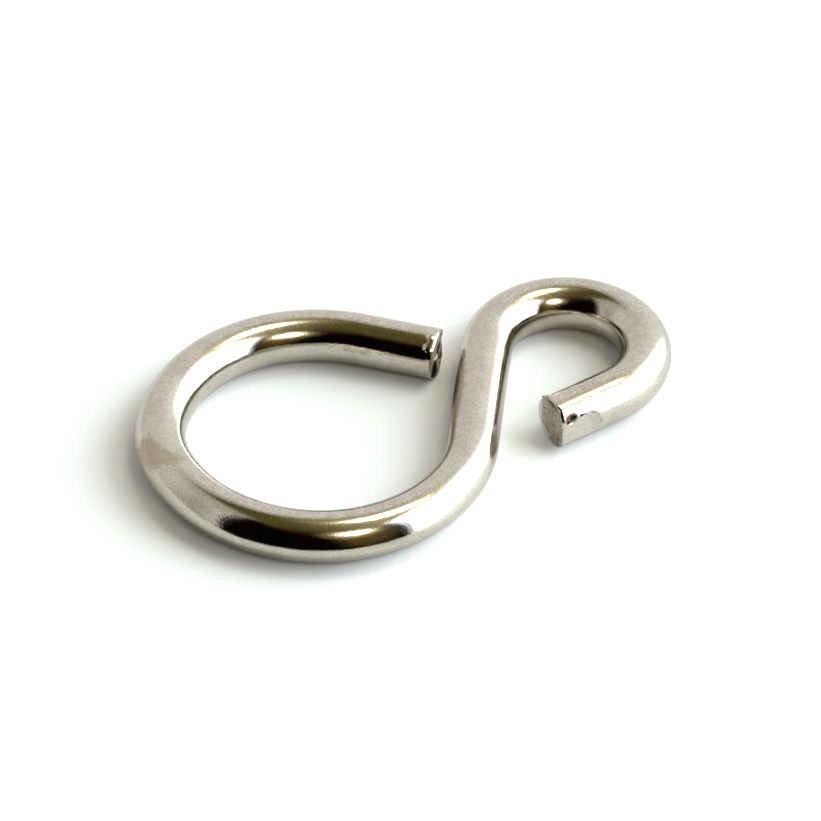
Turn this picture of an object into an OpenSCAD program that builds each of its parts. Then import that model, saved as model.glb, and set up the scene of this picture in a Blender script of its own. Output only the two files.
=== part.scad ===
// S hook bent from one length of round wire, lying flat.
// +X runs from the large loop to the small one, +Z is up, and the origin is
// at the middle of the footprint, on the surface that the hook lies on.

/* [Wire] */
// Diameter of the wire
wire_d = 3; // [1.5:0.1:4.5]

/* [Shank] */
// Length of the straight wire between the two loops
shank_len = 8.5; // [5:0.1:20]

/* [Large loop] */
// Diameter of the space inside the large loop
large_inside_d = 15; // [10:0.1:30]
// Length of the straight wire before the large loop's cut end
large_end_len = 4.6; // [2:0.1:8]
// Space between the middle of the large loop's cut end and the shank
large_gap = 1.2; // [0.5:0.05:5]

/* [Small loop] */
// Diameter of the space inside the small loop
small_inside_d = 6.2; // [4:0.1:15]
// Length of the straight wire before the small loop's cut end
small_end_len = 4.1; // [3:0.1:8]
// Space between the middle of the small loop's cut end and the shank
small_gap = 2.85; // [1:0.05:6]

/* [Large loop's cut end] */
// Angle off square of the face that the cutter left, towards the inside of the loop
large_cut_angle = 2; // [0:0.5:10]
// Angle off square of the face where the wire broke away, towards the outside
large_break_angle = 12; // [0:0.5:20]

/* [Small loop's cut end] */
// Angle off square of the cut, which leaves the wire longer on the outside of the loop
small_cut_angle = 9; // [0:0.5:15]
// Angle that the cut leans back towards its top edge
small_cut_lean = 2; // [0:0.5:10]

/* [Marks beside the small cut end] */
// Length of the flat that the bending tool pressed into the wire
flat_len = 2.8; // [1:0.1:3]
// Depth of the flat at the cut end, from where it runs out to nothing
flat_depth = 0.16; // [0.05:0.01:0.3]
// Angle of the flat above the hook's side
flat_rise = 9; // [-20:1:40]
// Distance from the middle of the cut end to the nick
nick_from_end = 1.2; // [0.8:0.1:2.5]
// Radius of the nick's hollow
nick_r = 0.34; // [0.2:0.01:0.5]
// Depth of the nick
nick_depth = 0.14; // [0.05:0.01:0.3]
// Angle of the nick above the hook's side
nick_rise = 34; // [0:1:60]

/* [Hidden] */
$fn = 96;
wire_r = wire_d / 2;
large_r = large_inside_d / 2 + wire_r;
small_r = small_inside_d / 2 + wire_r;

// The shank stands across the line through the middles of the two loops.
shank_angle = atan2(large_r + small_r, shank_len);
middles_apart = norm([large_r + small_r, shank_len]);
hook_len = large_r + middles_apart + small_r + wire_d;

// How far a straight end starts inside its bend, and how much thicker it is
// there, so that the two overlap cleanly and join at any size.
lap_len = 0.02;
lap_r = 0.005;

// Least that a cutting shape stands past what it cuts
cut_margin = 0.1;
// How far the steepest cut slopes between the wire's middle and its side
cut_slope = wire_r * tan(max(large_cut_angle, large_break_angle, small_cut_angle + small_cut_lean));
// Extra wire past the middle of each cut, which the cut takes away
spare = cut_slope + cut_margin;
// How far a cutting shape reaches past the middle of a cut
reach = spare + cut_slope + cut_margin;

// The angle that a loop's wire turns through, so that its cut end, past a
// straight length, stops at the gap from the shank.
function loop_turn(loop_r, end_len, gap) =
    360 - acos((loop_r - wire_r - gap) / norm([loop_r, end_len])) - atan2(end_len, loop_r);

// Straight wire along +X from the origin.
module straight_wire(length, r) {
    rotate([0, 90, 0])
        cylinder(r = r, h = length);
}

// Wire bent clockwise round the origin from the point (0, loop_r).
module bent_wire(loop_r, turn) {
    rotate([0, 0, 90])
        rotate_extrude(angle = -turn)
            translate([loop_r, 0])
                circle(r = wire_r);
}

// A loop that starts at the origin, heads along +X and turns right, with its
// straight end. What follows is cut from that end, in a frame at the middle of
// the cut that faces along +X, with the outside of the loop on its +Y side.
module loop(loop_r, turn, end_len) {
    translate([0, -loop_r, 0]) {
        bent_wire(loop_r, turn);
        rotate([0, 0, -turn])
            translate([0, loop_r, 0])
                difference() {
                    translate([-lap_len, 0, 0])
                        straight_wire(lap_len + end_len + spare, wire_r + lap_r);
                    translate([end_len, 0, 0])
                        children();
                }
    }
}

// The large loop's end has two faces that meet in an upright ridge: the one that
// the cutter left, and the one where the wire broke away.
module large_cut() {
    linear_extrude(2 * wire_d, center = true)
        polygon([
            [0, 0],
            [-wire_d * tan(large_cut_angle), -wire_d],
            [reach, -wire_d],
            [reach, wire_d],
            [-wire_d * tan(large_break_angle), wire_d]
        ]);
}

// The small loop's end has one sloping face.
module small_cut() {
    rotate([0, -small_cut_lean, -small_cut_angle])
        translate([0, -wire_d, -wire_d])
            cube([reach, 2 * wire_d, 2 * wire_d]);
}

// The flat beside the small cut end, deepest at the cut.
module tool_flat() {
    rotate([flat_rise, 0, 0])
        translate([-flat_len, wire_r, 0])
            rotate([0, 0, -atan2(flat_depth, flat_len)])
                translate([0, 0, -wire_r])
                    cube([flat_len + reach, wire_r, wire_d]);
}

// The small hollow beside the small cut end.
module nick() {
    rotate([nick_rise, 0, 0])
        translate([-nick_from_end, wire_r + nick_r - nick_depth, 0])
            sphere(r = nick_r);
}

// The large loop, which starts at one end of the shank.
module large_loop() {
    loop(large_r, loop_turn(large_r, large_end_len, large_gap), large_end_len)
        large_cut();
}

// The small loop, with the marks that the bending tool left beside its cut end.
module small_loop() {
    loop(small_r, loop_turn(small_r, small_end_len, small_gap), small_end_len) {
        small_cut();
        tool_flat();
        nick();
    }
}

// The whole wire, with the shank along +X from the origin.
module wire() {
    straight_wire(shank_len, wire_r);
    rotate([0, 0, 180])
        large_loop();
    translate([shank_len, 0, 0])
        small_loop();
}

// The hook, turned so that the middles of both loops are on the X axis, and
// lying on its thickest wire.
module s_hook() {
    color([0.78, 0.76, 0.71])
        translate([large_r + wire_r - hook_len / 2, 0, wire_r + lap_r])
            rotate([0, 0, shank_angle])
                translate([0, -large_r, 0])
                    wire();
}

s_hook();
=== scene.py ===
"""S hook of bent, nickel-plated wire, finished for its looks.

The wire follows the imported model's centreline: a large loop that is nearly
closed, a straight shank and a small open loop, all in one plane. Sizes are in
millimetres until a mesh, a lamp or the camera is made, which are in metres.
Along the wire, distances run from the large loop's cut end to the small one's.
Round it, angles run from the left of that direction (0) to the top (90).
"""

from __future__ import annotations

import logging
import math
from collections.abc import Iterable
from dataclasses import dataclass, field
from enum import Enum
from typing import Any

import bpy
import numpy as np
from mathutils import Matrix, Vector


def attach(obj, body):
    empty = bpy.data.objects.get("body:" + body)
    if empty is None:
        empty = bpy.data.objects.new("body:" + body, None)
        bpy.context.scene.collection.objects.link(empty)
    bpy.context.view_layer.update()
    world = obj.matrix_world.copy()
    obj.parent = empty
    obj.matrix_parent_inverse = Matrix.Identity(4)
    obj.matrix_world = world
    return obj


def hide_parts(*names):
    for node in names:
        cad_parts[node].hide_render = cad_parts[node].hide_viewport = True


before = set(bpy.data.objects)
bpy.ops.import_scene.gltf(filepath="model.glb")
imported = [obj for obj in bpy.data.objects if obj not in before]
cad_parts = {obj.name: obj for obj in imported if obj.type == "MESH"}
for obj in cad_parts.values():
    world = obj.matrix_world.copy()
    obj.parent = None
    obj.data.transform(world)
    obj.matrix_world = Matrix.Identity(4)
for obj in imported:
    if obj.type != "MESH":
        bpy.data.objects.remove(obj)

# A millimetre in metres
MM = 0.001
# Radius of the wire
WIRE_R = 1.5
HOOK_NODE = "s_hook"
LOG = logging.getLogger("s_hook")

Colour = tuple[float, float, float]
Array = np.ndarray


# ---------------------------------------------------------------- node trees


class Signal:
    """A node's output socket that Python's operators work on.

    Every operator adds one Math node to the tree that the socket is in.
    """

    def __init__(self, bench: Bench, socket: bpy.types.NodeSocket) -> None:
        """Wraps one output socket of the bench's tree."""
        self.bench = bench
        self.socket = socket

    def __add__(self, other: Signal | float) -> Signal:
        """Returns this plus the other."""
        return self.bench.math("ADD", self, other)

    def __sub__(self, other: Signal | float) -> Signal:
        """Returns this less the other."""
        return self.bench.math("SUBTRACT", self, other)

    def __rsub__(self, other: float) -> Signal:
        """Returns the number less this."""
        return self.bench.math("SUBTRACT", other, self)

    def __mul__(self, other: Signal | float) -> Signal:
        """Returns this times the other."""
        return self.bench.math("MULTIPLY", self, other)

    def __truediv__(self, other: Signal | float) -> Signal:
        """Returns this divided by the other."""
        return self.bench.math("DIVIDE", self, other)

    def __neg__(self) -> Signal:
        """Returns this with its sign turned."""
        return self.bench.math("MULTIPLY", self, -1.0)

    __radd__ = __add__
    __rmul__ = __mul__


class Bench:
    """Adds nodes to one shader or geometry tree."""

    def __init__(self, tree: bpy.types.NodeTree) -> None:
        """Takes the tree that new nodes go into."""
        self.tree = tree

    def node(
        self,
        kind: str,
        settings: dict[str, Any] | None = None,
        inputs: dict[str | int, Any] | None = None,
    ) -> bpy.types.Node:
        """Adds one node.

        Args:
            kind: The node's type name.
            settings: Properties of the node, set before its sockets.
            inputs: Values or signals for its sockets, by name or by place among the sockets in use.

        Returns:
            The new node.
        """
        node = self.tree.nodes.new(kind)
        for name, value in (settings or {}).items():
            setattr(node, name, value)
        for key, value in (inputs or {}).items():
            sockets = [s for s in node.inputs if s.enabled]
            if isinstance(key, int):
                socket = sockets[key]
            else:
                socket = next(s for s in sockets if s.name == key)
            if isinstance(value, Signal):
                self.tree.links.new(value.socket, socket)
            else:
                socket.default_value = value
        return node

    def signal(
        self,
        kind: str,
        settings: dict[str, Any] | None = None,
        inputs: dict[str | int, Any] | None = None,
        output: str | int = 0,
    ) -> Signal:
        """Adds one node and wraps one of its outputs.

        Args:
            kind: The node's type name.
            settings: Properties of the node.
            inputs: Values or signals for its sockets.
            output: The output's name, or its place among the outputs in use.

        Returns:
            The output as a signal.
        """
        node = self.node(kind, settings, inputs)
        outputs = [s for s in node.outputs if s.enabled]
        if isinstance(output, int):
            return Signal(self, outputs[output])
        return Signal(self, next(s for s in outputs if s.name == output))

    def math(self, operation: str, *values: Signal | float) -> Signal:
        """Adds one Math node.

        Args:
            operation: The node's operation.
            *values: Its inputs in order.

        Returns:
            The result.
        """
        inputs = dict(enumerate(values))
        return self.signal("ShaderNodeMath", {"operation": operation}, inputs)

    def vector_math(self, operation: str, *values: Signal | tuple) -> Signal:
        """Adds one Vector Math node.

        Args:
            operation: The node's operation.
            *values: Its inputs in order.

        Returns:
            The result, a number for a dot product or a distance.
        """
        inputs = dict(enumerate(values))
        return self.signal("ShaderNodeVectorMath", {"operation": operation}, inputs)

    def smooth(self, value: Signal, start: float, end: float, low: float = 0.0, high: float = 1.0) -> Signal:
        """Turns a value into a soft step.

        Args:
            value: The value to follow.
            start: Where the step starts.
            end: Where it ends.
            low: The result before the step.
            high: The result after it.

        Returns:
            The step, which doesn't overshoot.
        """
        settings = {"interpolation_type": "SMOOTHSTEP", "clamp": True}
        inputs = {0: value, 1: start, 2: end, 3: low, 4: high}
        return self.signal("ShaderNodeMapRange", settings, inputs)

    def mix(self, first: Signal | Colour, second: Signal | Colour, share: Signal | float) -> Signal:
        """Mixes two colours.

        Args:
            first: The colour where the share is 0.
            second: The colour where the share is 1.
            share: How much of the second colour there is.

        Returns:
            The mixed colour.
        """
        inputs = {"Factor": share, "A": with_alpha(first), "B": with_alpha(second)}
        return self.signal("ShaderNodeMix", {"data_type": "RGBA"}, inputs)

    def noise(self, place: Signal, scale: float, detail: float, roughness: float) -> Signal:
        """Adds smooth noise.

        Args:
            place: The coordinates to read it at.
            scale: Its fineness, in waves for each unit of the coordinates.
            detail: How many finer layers it has.
            roughness: How strong the finer layers are.

        Returns:
            A value round 0.5.
        """
        inputs = {"Vector": place, "Scale": scale, "Detail": detail, "Roughness": roughness}
        return self.signal("ShaderNodeTexNoise", {"noise_dimensions": "3D"}, inputs)

    def output(self, kind: str, socket: str, source: Signal) -> None:
        """Links a signal to an output node.

        Args:
            kind: The output node's type name.
            socket: The name of its socket.
            source: What it shows.
        """
        self.node(kind, inputs={socket: source})


def with_alpha(colour: Signal | Colour) -> Signal | tuple[float, float, float, float]:
    """Returns a plain colour with full alpha, or a signal as it is."""
    return colour if isinstance(colour, Signal) else (*colour, 1.0)


# ---------------------------------------------------------------- centreline


@dataclass(frozen=True)
class WireLine:
    """The wire's centreline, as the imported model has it.

    Attributes:
        wire_r: Radius of the wire.
        shank_len: Length of the straight shank.
        large_r: Radius of the large loop's centreline.
        large_end_len: Straight wire before the large loop's cut end.
        large_gap: Space between that end and the shank.
        small_r: Radius of the small loop's centreline.
        small_end_len: Straight wire before the small loop's cut end.
        small_gap: Space between that end and the shank.
        rest_z: Height of the centreline above the table.
    """

    wire_r: float = WIRE_R
    shank_len: float = 8.5
    large_r: float = 9.0
    large_end_len: float = 4.6
    large_gap: float = 1.2
    small_r: float = 4.6
    small_end_len: float = 4.1
    small_gap: float = 2.85
    rest_z: float = 1.505

    def turn(self, loop_r: float, end_len: float, gap: float) -> float:
        """Works out how far a loop turns.

        Args:
            loop_r: Radius of its centreline.
            end_len: Straight wire at its end.
            gap: Space between its end and the shank.

        Returns:
            The angle in radians.
        """
        closing = math.acos((loop_r - self.wire_r - gap) / math.hypot(loop_r, end_len))
        return 2 * math.pi - closing - math.atan2(end_len, loop_r)

    @property
    def large_turn(self) -> float:
        """The large loop's angle in radians."""
        return self.turn(self.large_r, self.large_end_len, self.large_gap)

    @property
    def small_turn(self) -> float:
        """The small loop's angle in radians."""
        return self.turn(self.small_r, self.small_end_len, self.small_gap)

    @property
    def shank_start(self) -> float:
        """Distance along the wire to where the shank starts."""
        return self.large_end_len + self.large_r * self.large_turn

    @property
    def length(self) -> float:
        """Length of the whole wire along its middle."""
        bent = self.small_r * self.small_turn
        return self.shank_start + self.shank_len + bent + self.small_end_len

    @property
    def shank_angle(self) -> float:
        """Angle of the shank from +X, in radians."""
        return math.atan2(self.large_r + self.small_r, self.shank_len)

    @property
    def offset_x(self) -> float:
        """Place of the large loop's middle along X."""
        apart = math.hypot(self.large_r + self.small_r, self.shank_len)
        hook_len = self.large_r + apart + self.small_r + 2 * self.wire_r
        return self.large_r + self.wire_r - hook_len / 2


@dataclass(frozen=True)
class SweepInput:
    """One named size of the wire's node tree.

    Attributes:
        name: The name that the tree's input has.
        value: Its value in metres or radians.
    """

    name: str
    value: float


@dataclass
class WireSweep:
    """Sweeps the round wire along its centreline with a node tree.

    Attributes:
        line: The centreline.
        stations: Number of rings along the wire.
        sides: Number of points round each ring.
        crowding: How much closer the rings stand at the two ends, from 0 to 1.
    """

    line: WireLine
    stations: int = 420
    sides: int = 180
    crowding: float = 0.86

    def inputs(self) -> list[SweepInput]:
        """Returns the tree's named sizes."""
        line = self.line
        return [
            SweepInput("Wire radius", line.wire_r * MM),
            SweepInput("Shank length", line.shank_len * MM),
            SweepInput("Large loop radius", line.large_r * MM),
            SweepInput("Large loop turn", line.large_turn),
            SweepInput("Large end length", line.large_end_len * MM),
            SweepInput("Small loop radius", line.small_r * MM),
            SweepInput("Small loop turn", line.small_turn),
            SweepInput("Small end length", line.small_end_len * MM),
            SweepInput("Shank angle", line.shank_angle),
            SweepInput("Large loop middle", line.offset_x * MM),
            SweepInput("Resting height", line.rest_z * MM),
        ]

    def build(self, name: str, material: bpy.types.Material) -> bpy.types.Mesh:
        """Makes the open tube as a plain mesh.

        Args:
            name: Name of the mesh.
            material: The finish that the tree sets on it.

        Returns:
            The tube, with the attributes along and heading.
        """
        tree = self.make_tree(material)
        holder = bpy.data.objects.new(name, bpy.data.meshes.new(name))
        bpy.context.scene.collection.objects.link(holder)
        modifier = holder.modifiers.new("wire sweep", "NODES")
        modifier.node_group = tree
        sockets = {s.name: s.identifier for s in tree.interface.items_tree if s.in_out == "INPUT"}
        for size in self.inputs():
            modifier[sockets[size.name]] = size.value
        graph = bpy.context.evaluated_depsgraph_get()
        mesh = bpy.data.meshes.new_from_object(holder.evaluated_get(graph))
        mesh.name = name
        bpy.data.objects.remove(holder)
        bpy.data.node_groups.remove(tree)
        return mesh

    def make_tree(self, material: bpy.types.Material) -> bpy.types.NodeTree:
        """Builds the sweep's node tree.

        Args:
            material: The finish that it sets.

        Returns:
            The tree.
        """
        tree = bpy.data.node_groups.new("wire sweep", "GeometryNodeTree")
        tree.interface.new_socket("Geometry", in_out="OUTPUT", socket_type="NodeSocketGeometry")
        for size in self.inputs():
            tree.interface.new_socket(size.name, in_out="INPUT", socket_type="NodeSocketFloat")
        bench = Bench(tree)
        group = bench.node("NodeGroupInput")
        sizes = {s.name: Signal(bench, s) for s in group.outputs if s.name}
        along = self.station_distance(bench, sizes)
        path = self.make_path(bench, sizes, along)
        ring = self.make_ring(bench, sizes["Wire radius"])
        tube = bench.signal("GeometryNodeCurveToMesh", inputs={"Curve": path, "Profile Curve": ring})
        smooth = bench.signal("GeometryNodeSetShadeSmooth", inputs={"Geometry": tube})
        whole = bench.signal("GeometryNodeRealizeInstances", inputs={"Geometry": smooth})
        plated = bench.signal("GeometryNodeSetMaterial", inputs={"Geometry": whole, "Material": material})
        bench.output("NodeGroupOutput", "Geometry", plated)
        return tree

    def station_distance(self, bench: Bench, sizes: dict[str, Signal]) -> Signal:
        """Spaces the rings along the wire, closer at its two ends.

        Args:
            bench: The bench to build on.
            sizes: The tree's named sizes.

        Returns:
            Each ring's distance along the wire.
        """
        large = sizes["Large end length"] + sizes["Large loop radius"] * sizes["Large loop turn"]
        small = sizes["Small end length"] + sizes["Small loop radius"] * sizes["Small loop turn"]
        length = large + sizes["Shank length"] + small
        index = bench.signal("GeometryNodeInputIndex")
        share = index / float(self.stations - 1)
        wave = bench.math("SINE", share * (2 * math.pi)) * (self.crowding / (2 * math.pi))
        return (share - wave) * length

    def make_path(self, bench: Bench, sizes: dict[str, Signal], along: Signal) -> Signal:
        """Lays the stations on the centreline.

        Args:
            bench: The bench to build on.
            sizes: The tree's named sizes.
            along: Each station's distance along the wire.

        Returns:
            The path as a curve.
        """
        line = bench.signal("GeometryNodeCurvePrimitiveLine", inputs={"End": (MM, 0.0, 0.0)})
        points = bench.signal(
            "GeometryNodeResampleCurve", {"mode": "COUNT"}, {"Curve": line, "Count": self.stations}
        )
        kept = bench.signal(
            "GeometryNodeStoreNamedAttribute",
            {"data_type": "FLOAT", "domain": "POINT"},
            {"Geometry": points, "Name": "along", "Value": along},
        )
        place = self.centre_place(bench, sizes, along)
        laid = bench.signal("GeometryNodeSetPosition", inputs={"Geometry": kept, "Position": place})
        upright = bench.signal("GeometryNodeSetCurveNormal", {"mode": "Z_UP"}, {"Curve": laid})
        heading = bench.signal("GeometryNodeInputTangent")
        return bench.signal(
            "GeometryNodeStoreNamedAttribute",
            {"data_type": "FLOAT_VECTOR", "domain": "POINT"},
            {"Geometry": upright, "Name": "heading", "Value": heading},
        )

    def centre_place(self, bench: Bench, sizes: dict[str, Signal], along: Signal) -> Signal:
        """Works out the centreline's place from the distance along the wire.

        The shank starts at (0, 0) and runs along +X. Both loops turn right as
        they leave it. The whole line then turns by the shank's angle.

        Args:
            bench: The bench to build on.
            sizes: The tree's named sizes.
            along: Distance along the wire.

        Returns:
            The place as a vector.
        """
        large_r = sizes["Large loop radius"]
        small_r = sizes["Small loop radius"]
        shank = sizes["Shank length"]
        large_arc = large_r * sizes["Large loop turn"]
        small_arc = small_r * sizes["Small loop turn"]
        past = along - (sizes["Large end length"] + large_arc)
        on_shank = bench.math("MINIMUM", bench.math("MAXIMUM", past, 0.0), shank)

        into_small = bench.math("MAXIMUM", past - shank, 0.0)
        small_bend = bench.math("MINIMUM", into_small, small_arc) / small_r
        small_rest = bench.math("MAXIMUM", into_small - small_arc, 0.0)
        small_sin = bench.math("SINE", small_bend)
        small_cos = bench.math("COSINE", small_bend)

        into_large = bench.math("MAXIMUM", -past, 0.0)
        large_bend = bench.math("MINIMUM", into_large, large_arc) / large_r
        large_rest = bench.math("MAXIMUM", into_large - large_arc, 0.0)
        large_sin = bench.math("SINE", large_bend)
        large_cos = bench.math("COSINE", large_bend)

        x = (
            on_shank
            + small_r * small_sin
            + small_rest * small_cos
            - large_r * large_sin
            - large_rest * large_cos
        )
        y = (
            small_r * (small_cos - 1.0)
            - small_rest * small_sin
            - large_r * large_cos
            + large_rest * large_sin
        )
        turn_sin = bench.math("SINE", sizes["Shank angle"])
        turn_cos = bench.math("COSINE", sizes["Shank angle"])
        return bench.signal(
            "ShaderNodeCombineXYZ",
            inputs={
                "X": x * turn_cos - y * turn_sin + sizes["Large loop middle"],
                "Y": x * turn_sin + y * turn_cos,
                "Z": sizes["Resting height"],
            },
        )

    def make_ring(self, bench: Bench, wire_r: Signal) -> Signal:
        """Makes the round profile.

        Args:
            bench: The bench to build on.
            wire_r: Radius of the wire.

        Returns:
            The profile as a curve.
        """
        return bench.signal(
            "GeometryNodeCurvePrimitiveCircle",
            {"mode": "RADIUS"},
            {"Resolution": self.sides, "Radius": wire_r},
        )


# ---------------------------------------------------------------- marks on the wire


def soft_step(value: Array, start: float, end: float) -> Array:
    """Makes a soft step from 0 to 1.

    Args:
        value: The values to follow.
        start: Where the step starts.
        end: Where it ends.

    Returns:
        The step at each value.
    """
    share = np.clip((value - start) / (end - start), 0.0, 1.0)
    return share * share * (3 - 2 * share)


@dataclass(frozen=True)
class Hill:
    """A soft round hill, or a soft round patch of something.

    Attributes:
        middle: Where it stands.
        size: Its half width along its own two directions.
        height: Its height, less than 0 for a hollow.
        turn: How far it is turned, in degrees.
        flatness: How flat its top is: 1 for a round top, more for a flat one with steeper sides.
    """

    middle: tuple[float, float]
    size: tuple[float, float]
    height: float = 1.0
    turn: float = 0.0
    flatness: float = 1.0

    def __call__(self, x: Array, y: Array) -> Array:
        """Works out how high it is.

        Args:
            x: Each point's place across.
            y: Each point's place up.

        Returns:
            Its height at each point.
        """
        turned = math.radians(self.turn)
        across = x - self.middle[0]
        up = y - self.middle[1]
        first = (across * math.cos(turned) + up * math.sin(turned)) / self.size[0]
        second = (up * math.cos(turned) - across * math.sin(turned)) / self.size[1]
        return self.height * np.exp(-((first**2 + second**2) ** self.flatness))


@dataclass(frozen=True)
class Ripple:
    """Fixed uneven waves, as torn or worn metal has.

    Attributes:
        seed: Picks the waves.
        length: Length of the longest wave.
        layers: How many layers there are, each of shorter and lower waves.
        waves: How many waves a layer has.
        shorter: How many times shorter each layer's waves are.
        lower: How high each layer's waves are beside those before.
        spread: Least and most that a wave is finer than its layer.
        sum_height: What the waves add up to where most of them meet.
    """

    seed: int
    length: float
    layers: int = 4
    waves: int = 5
    shorter: float = 1.8
    lower: float = 0.62
    spread: tuple[float, float] = (0.7, 1.3)
    sum_height: float = 3.0

    def __call__(self, x: Array, y: Array) -> Array:
        """Adds up the waves.

        Each wave runs some way in space, so that it is longer where it meets
        the surface at a slant.

        Args:
            x: Each point's place one way.
            y: Each point's place the other way.

        Returns:
            The waves' height at each point, mostly between -1 and 1.
        """
        chance = np.random.default_rng(self.seed)
        total = np.zeros_like(x)
        for layer in range(self.layers):
            for _ in range(self.waves):
                way = chance.normal(size=3)
                way /= np.linalg.norm(way)
                pace = 2 * math.pi * self.shorter**layer / self.length * chance.uniform(*self.spread)
                start = chance.uniform(0, 2 * math.pi)
                total += self.lower**layer * np.sin(pace * (way[0] * x + way[1] * y) + start)
        return total / self.sum_height


@dataclass(frozen=True)
class Sway:
    """An unevenness in the bending, which carries the wire a little off its loop.

    Attributes:
        start: Where it starts, as a distance along the wire.
        full_from: Where it has its full size.
        full_to: Where it starts to fade.
        end: Where it has faded.
        shift: How far the wire is carried along X and Y.
    """

    start: float
    full_from: float
    full_to: float
    end: float
    shift: tuple[float, float]

    def offset(self, along: Array) -> Array:
        """Returns how far each point is carried."""
        share = soft_step(along, self.start, self.full_from) * (1 - soft_step(along, self.full_to, self.end))
        return share[..., None] * np.array((*self.shift, 0.0))


@dataclass(frozen=True)
class Mark:
    """Something that the tools or the wear left in the wire's side, and painted shade laid on it."""

    def height(self, skin: WireSkin) -> Array:
        """Returns how far the side stands out at each point, less than 0 where it is dented."""
        return np.zeros_like(skin.along)

    def worn_and_painted_shade(self, skin: WireSkin) -> Array:
        """Returns how brown each point is, from worn plating and from painted shade."""
        return np.zeros_like(skin.along)

    def dirt_and_painted_shade(self, skin: WireSkin) -> Array:
        """Returns how much dark dirt and painted shade there is at each point."""
        return np.zeros_like(skin.along)


@dataclass(frozen=True)
class ToolFlat(Mark):
    """The flat that the bending tool pressed in beside the small loop's end.

    Attributes:
        length: Where it runs out, from the cut end.
        run_out: Length over which it does so.
        depth: How deep it is.
        rise: How far round the wire its middle is, in degrees.
        edge: Depth under the round side up to which its edge is dirty or worn.
        grime_and_painted_shade: How thick the dirt in its upper edge is.
        grime_waver: How much its thickness follows the scuffs.
        width_waver: How much its width follows them.
        scuffs: The waves that make the dirt uneven.
        upper_edge: Angles above the flat's middle between which the dirt comes in, in degrees.
        dirty_from: Distances from the cut end between which the dirt comes in.
        thin_from: Distances from the cut end between which the dirt thins out.
        thinned: How much it thins.
        wear: How brown its edge has worn.
        worn_from: Distances from the cut end between which the wear comes in.
        worn_reach: How far from the outside of the loop the edge is worn, in degrees.
    """

    length: float = 2.3
    run_out: float = 0.7
    depth: float = 0.21
    rise: float = 3.0
    edge: float = 0.03
    grime_and_painted_shade: float = 0.75
    grime_waver: float = 0.35
    width_waver: float = 0.5
    scuffs: Ripple = Ripple(seed=3, length=0.8)
    upper_edge: tuple[float, float] = (4.0, 20.0)
    dirty_from: tuple[float, float] = (0.9, 1.1)
    thin_from: tuple[float, float] = (1.4, 1.8)
    thinned: float = 0.45
    wear: float = 0.5
    worn_from: tuple[float, float] = (1.0, 2.0)
    worn_reach: float = 60.0

    def shortfall(self, skin: WireSkin) -> Array:
        """Measures how far the flat lies under the round side.

        Args:
            skin: The wire's skin.

        Returns:
            The distance at each point, less than 0 outside the flat.
        """
        wire_r = skin.line.wire_r
        least_facing = 0.1
        facing = np.maximum(np.cos(skin.angle - math.radians(self.rise)), least_facing)
        rising = np.clip((skin.from_small_end() - self.length + self.run_out) / self.run_out, 0.0, None)
        return wire_r - (wire_r - self.depth * (1 - rising**2)) / facing

    def height(self, skin: WireSkin) -> Array:
        """Returns how far the side stands out at each point, less than 0 where it is dented."""
        return -np.maximum(self.shortfall(skin), 0.0)

    def dirt_and_painted_shade(self, skin: WireSkin) -> Array:
        """Lays dirt along the flat's upper edge.

        Args:
            skin: The wire's skin.

        Returns:
            How much dark dirt there is at each point.
        """
        from_end = skin.from_small_end()
        uneven = self.scuffs(skin.along, skin.line.wire_r * skin.angle)
        edge = self.edge * (1 + self.width_waver * uneven)
        above = skin.angle - math.radians(self.rise)
        line = np.exp(-((self.shortfall(skin) / edge) ** 2))
        line = line * soft_step(above, *np.radians(self.upper_edge))
        line = line * soft_step(from_end, *self.dirty_from)
        line = line * (1 - self.thinned * soft_step(from_end, *self.thin_from))
        return (self.grime_and_painted_shade + self.grime_waver * uneven) * line

    def worn_and_painted_shade(self, skin: WireSkin) -> Array:
        """Wears the flat's edge on the outside of the loop.

        Args:
            skin: The wire's skin.

        Returns:
            How much the plating has worn brown at each point.
        """
        line = np.exp(-((self.shortfall(skin) / self.edge) ** 2))
        outside = np.abs(skin.angle) < math.radians(self.worn_reach)
        return self.wear * line * soft_step(skin.from_small_end(), *self.worn_from) * outside


@dataclass(frozen=True)
class Spot:
    """A place in the nick.

    Attributes:
        on: How far it is from the nick's middle, away from the cut end.
        up: How far it is from the nick's middle, up round the wire.
        scale: Its size beside the nick's own.
    """

    on: float = 0.0
    up: float = 0.0
    scale: float = 1.0


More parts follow.
